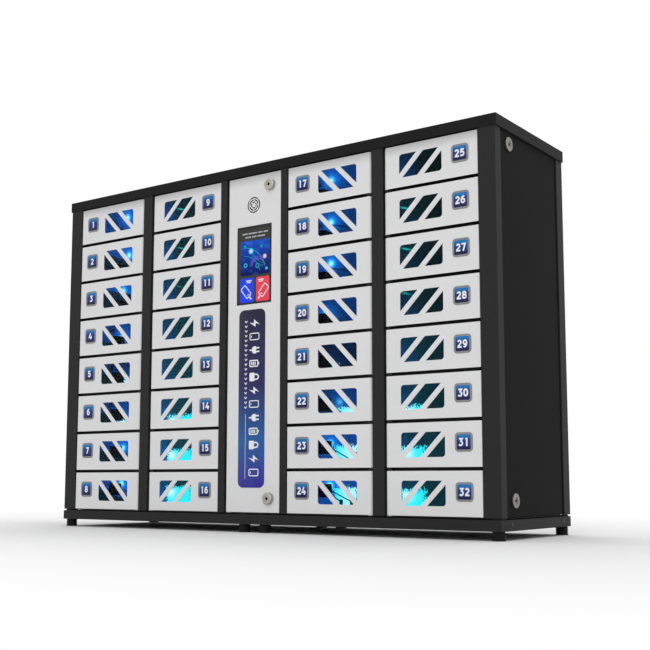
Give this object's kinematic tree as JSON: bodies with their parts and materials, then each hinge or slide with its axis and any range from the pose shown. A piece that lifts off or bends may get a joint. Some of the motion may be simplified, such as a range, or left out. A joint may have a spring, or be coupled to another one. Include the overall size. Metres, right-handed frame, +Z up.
{
  "type": "charging locker",
  "caption": "Low wide phone charging locker with columns of small windowed doors beside a control door that holds a touch screen, in a black sheet steel cabinet on a base frame.",
  "frame": {"origin": "on the floor, under the middle of the cabinet", "axes": "+X along the front to the right as seen from in front, +Y from the doors to the back, +Z up"},
  "size_m": [1.407, 0.377, 0.9525],
  "materials": {
    "frame_paint": "fine textured black powder coat",
    "lid_paint": "fine textured black powder coat",
    "door_paint": "light grey powder coat with a clear plastic pane behind its window",
    "inner_paint": "glossy black paint",
    "bare_steel": "zinc plated",
    "chrome_plate": "polished chrome plate",
    "bare_aluminium": "satin aluminium",
    "black_plastic": "moulded, fine matt grain",
    "lead_jacket": "smooth soft jacket",
    "light_cover": "clear diffusing cover over blue lights",
    "screen_glass": "gloss black front glass",
    "rubber": "ribbed black rubber"
  },
  "bodies": {
    "cabinet": {"base_frame": "frame_paint", "rubber_feet": "rubber", "top_cover": "lid_paint", "frame_posts": "frame_paint", "cross_rails": "frame_paint", "floor_plate": "frame_paint", "rear_panel": "frame_paint", "power_inlet": "black_plastic", "compartment_walls": "inner_paint", "compartment_shelves": "inner_paint", "hinge_pivots": "bare_steel", "door_latches": "black_plastic", "light_bars": "light_cover", "charging_hubs": "black_plastic", "charging_leads": "lead_jacket", "power_supply": "bare_aluminium"},
    "control_door": {"control_door": "door_paint", "touch_screen": "screen_glass", "speaker": "black_plastic", "control_unit": "bare_aluminium"},
    "door_01": {"door_01": "door_paint"},
    "door_02": {"door_02": "door_paint"},
    "door_03": {"door_03": "door_paint"},
    "door_04": {"door_04": "door_paint"},
    "door_05": {"door_05": "door_paint"},
    "door_06": {"door_06": "door_paint"},
    "door_07": {"door_07": "door_paint"},
    "door_08": {"door_08": "door_paint"},
    "door_09": {"door_09": "door_paint"},
    "door_10": {"door_10": "door_paint"},
    "door_11": {"door_11": "door_paint"},
    "door_12": {"door_12": "door_paint"},
    "door_13": {"door_13": "door_paint"},
    "door_14": {"door_14": "door_paint"},
    "door_15": {"door_15": "door_paint"},
    "door_16": {"door_16": "door_paint"},
    "door_17": {"door_17": "door_paint"},
    "door_18": {"door_18": "door_paint"},
    "door_19": {"door_19": "door_paint"},
    "door_20": {"door_20": "door_paint"},
    "door_21": {"door_21": "door_paint"},
    "door_22": {"door_22": "door_paint"},
    "door_23": {"door_23": "door_paint"},
    "door_24": {"door_24": "door_paint"},
    "door_25": {"door_25": "door_paint"},
    "door_26": {"door_26": "door_paint"},
    "door_27": {"door_27": "door_paint"},
    "door_28": {"door_28": "door_paint"},
    "door_29": {"door_29": "door_paint"},
    "door_30": {"door_30": "door_paint"},
    "door_31": {"door_31": "door_paint"},
    "door_32": {"door_32": "door_paint"},
    "front_lock_upper": {"front_lock_upper": "chrome_plate"},
    "front_lock_lower": {"front_lock_lower": "chrome_plate"},
    "side_panel_left": {"side_panel_left": "frame_paint"},
    "side_lock_left_upper": {"side_lock_left_upper": "chrome_plate"},
    "side_lock_left_lower": {"side_lock_left_lower": "chrome_plate"},
    "side_panel_right": {"side_panel_right": "frame_paint"},
    "side_lock_right_upper": {"side_lock_right_upper": "chrome_plate"},
    "side_lock_right_lower": {"side_lock_right_lower": "chrome_plate"}
  },
  "joints": [
    {"name": "door_01_hinge", "type": "hinge", "parent": "cabinet", "child": "door_01", "pos_m": [-0.4115, -0.172, 0.8715], "axis": [0, 0, 1], "range_deg": [0, 92]},
    {"name": "door_02_hinge", "type": "hinge", "parent": "cabinet", "child": "door_02", "pos_m": [-0.4115, -0.172, 0.7615], "axis": [0, 0, 1], "range_deg": [0, 92]},
    {"name": "door_03_hinge", "type": "hinge", "parent": "cabinet", "child": "door_03", "pos_m": [-0.4115, -0.172, 0.6515], "axis": [0, 0, 1], "range_deg": [0, 92]},
    {"name": "door_04_hinge", "type": "hinge", "parent": "cabinet", "child": "door_04", "pos_m": [-0.4115, -0.172, 0.5415], "axis": [0, 0, 1], "range_deg": [0, 92]},
    {"name": "door_05_hinge", "type": "hinge", "parent": "cabinet", "child": "door_05", "pos_m": [-0.4115, -0.172, 0.4315], "axis": [0, 0, 1], "range_deg": [0, 92]},
    {"name": "door_06_hinge", "type": "hinge", "parent": "cabinet", "child": "door_06", "pos_m": [-0.4115, -0.172, 0.3215], "axis": [0, 0, 1], "range_deg": [0, 92]},
    {"name": "door_07_hinge", "type": "hinge", "parent": "cabinet", "child": "door_07", "pos_m": [-0.4115, -0.172, 0.2115], "axis": [0, 0, 1], "range_deg": [0, 92]},
    {"name": "door_08_hinge", "type": "hinge", "parent": "cabinet", "child": "door_08", "pos_m": [-0.4115, -0.172, 0.1015], "axis": [0, 0, 1], "range_deg": [0, 92]},
    {"name": "door_09_hinge", "type": "hinge", "parent": "cabinet", "child": "door_09", "pos_m": [-0.357, -0.172, 0.8715], "axis": [0, 0, -1], "range_deg": [0, 92]},
    {"name": "door_10_hinge", "type": "hinge", "parent": "cabinet", "child": "door_10", "pos_m": [-0.357, -0.172, 0.7615], "axis": [0, 0, -1], "range_deg": [0, 92]},
    {"name": "door_11_hinge", "type": "hinge", "parent": "cabinet", "child": "door_11", "pos_m": [-0.357, -0.172, 0.6515], "axis": [0, 0, -1], "range_deg": [0, 92]},
    {"name": "door_12_hinge", "type": "hinge", "parent": "cabinet", "child": "door_12", "pos_m": [-0.357, -0.172, 0.5415], "axis": [0, 0, -1], "range_deg": [0, 92]},
    {"name": "door_13_hinge", "type": "hinge", "parent": "cabinet", "child": "door_13", "pos_m": [-0.357, -0.172, 0.4315], "axis": [0, 0, -1], "range_deg": [0, 92]},
    {"name": "door_14_hinge", "type": "hinge", "parent": "cabinet", "child": "door_14", "pos_m": [-0.357, -0.172, 0.3215], "axis": [0, 0, -1], "range_deg": [0, 92]},
    {"name": "door_15_hinge", "type": "hinge", "parent": "cabinet", "child": "door_15", "pos_m": [-0.357, -0.172, 0.2115], "axis": [0, 0, -1], "range_deg": [0, 92]},
    {"name": "door_16_hinge", "type": "hinge", "parent": "cabinet", "child": "door_16", "pos_m": [-0.357, -0.172, 0.1015], "axis": [0, 0, -1], "range_deg": [0, 92]},
    {"name": "door_17_hinge", "type": "hinge", "parent": "cabinet", "child": "door_17", "pos_m": [0.357, -0.172, 0.8715], "axis": [0, 0, 1], "range_deg": [0, 92]},
    {"name": "door_18_hinge", "type": "hinge", "parent": "cabinet", "child": "door_18", "pos_m": [0.357, -0.172, 0.7615], "axis": [0, 0, 1], "range_deg": [0, 92]},
    {"name": "door_19_hinge", "type": "hinge", "parent": "cabinet", "child": "door_19", "pos_m": [0.357, -0.172, 0.6515], "axis": [0, 0, 1], "range_deg": [0, 92]},
    {"name": "door_20_hinge", "type": "hinge", "parent": "cabinet", "child": "door_20", "pos_m": [0.357, -0.172, 0.5415], "axis": [0, 0, 1], "range_deg": [0, 92]},
    {"name": "door_21_hinge", "type": "hinge", "parent": "cabinet", "child": "door_21", "pos_m": [0.357, -0.172, 0.4315], "axis": [0, 0, 1], "range_deg": [0, 92]},
    {"name": "door_22_hinge", "type": "hinge", "parent": "cabinet", "child": "door_22", "pos_m": [0.357, -0.172, 0.3215], "axis": [0, 0, 1], "range_deg": [0, 92]},
    {"name": "door_23_hinge", "type": "hinge", "parent": "cabinet", "child": "door_23", "pos_m": [0.357, -0.172, 0.2115], "axis": [0, 0, 1], "range_deg": [0, 92]},
    {"name": "door_24_hinge", "type": "hinge", "parent": "cabinet", "child": "door_24", "pos_m": [0.357, -0.172, 0.1015], "axis": [0, 0, 1], "range_deg": [0, 92]},
    {"name": "door_25_hinge", "type": "hinge", "parent": "cabinet", "child": "door_25", "pos_m": [0.4115, -0.172, 0.8715], "axis": [0, 0, -1], "range_deg": [0, 92]},
    {"name": "door_26_hinge", "type": "hinge", "parent": "cabinet", "child": "door_26", "pos_m": [0.4115, -0.172, 0.7615], "axis": [0, 0, -1], "range_deg": [0, 92]},
    {"name": "door_27_hinge", "type": "hinge", "parent": "cabinet", "child": "door_27", "pos_m": [0.4115, -0.172, 0.6515], "axis": [0, 0, -1], "range_deg": [0, 92]},
    {"name": "door_28_hinge", "type": "hinge", "parent": "cabinet", "child": "door_28", "pos_m": [0.4115, -0.172, 0.5415], "axis": [0, 0, -1], "range_deg": [0, 92]},
    {"name": "door_29_hinge", "type": "hinge", "parent": "cabinet", "child": "door_29", "pos_m": [0.4115, -0.172, 0.4315], "axis": [0, 0, -1], "range_deg": [0, 92]},
    {"name": "door_30_hinge", "type": "hinge", "parent": "cabinet", "child": "door_30", "pos_m": [0.4115, -0.172, 0.3215], "axis": [0, 0, -1], "range_deg": [0, 92]},
    {"name": "door_31_hinge", "type": "hinge", "parent": "cabinet", "child": "door_31", "pos_m": [0.4115, -0.172, 0.2115], "axis": [0, 0, -1], "range_deg": [0, 92]},
    {"name": "door_32_hinge", "type": "hinge", "parent": "cabinet", "child": "door_32", "pos_m": [0.4115, -0.172, 0.1015], "axis": [0, 0, -1], "range_deg": [0, 92]},
    {"name": "control_door_hinge", "type": "hinge", "parent": "cabinet", "child": "control_door", "pos_m": [-0.08, -0.172, 0.4865], "axis": [0, 0, -1], "range_deg": [0, 92]},
    {"name": "front_lock_upper_turn", "type": "hinge", "parent": "control_door", "child": "front_lock_upper", "pos_m": [0.0565, -0.181, 0.8895], "axis": [0, -1, 0], "range_deg": [0, 90]},
    {"name": "front_lock_lower_turn", "type": "hinge", "parent": "control_door", "child": "front_lock_lower", "pos_m": [0.0565, -0.181, 0.0855], "axis": [0, 1, 0], "range_deg": [0, 90]},
    {"name": "side_panel_left_hinge", "type": "hinge", "parent": "cabinet", "child": "side_panel_left", "pos_m": [-0.69, 0.1387, 0.4865], "axis": [0, 0, -1], "range_deg": [0, 95]},
    {"name": "side_lock_left_upper_turn", "type": "hinge", "parent": "side_panel_left", "child": "side_lock_left_upper", "pos_m": [-0.698, -0.1133, 0.8965], "axis": [-1, 0, 0], "range_deg": [0, 90]},
    {"name": "side_lock_left_lower_turn", "type": "hinge", "parent": "side_panel_left", "child": "side_lock_left_lower", "pos_m": [-0.698, -0.1133, 0.086], "axis": [1, 0, 0], "range_deg": [0, 90]},
    {"name": "side_panel_right_hinge", "type": "hinge", "parent": "cabinet", "child": "side_panel_right", "pos_m": [0.69, 0.1387, 0.4865], "axis": [0, 0, 1], "range_deg": [0, 95]},
    {"name": "side_lock_right_upper_turn", "type": "hinge", "parent": "side_panel_right", "child": "side_lock_right_upper", "pos_m": [0.698, -0.1133, 0.8965], "axis": [-1, 0, 0], "range_deg": [0, 90]},
    {"name": "side_lock_right_lower_turn", "type": "hinge", "parent": "side_panel_right", "child": "side_lock_right_lower", "pos_m": [0.698, -0.1133, 0.086], "axis": [1, 0, 0], "range_deg": [0, 90]}
  ]
}
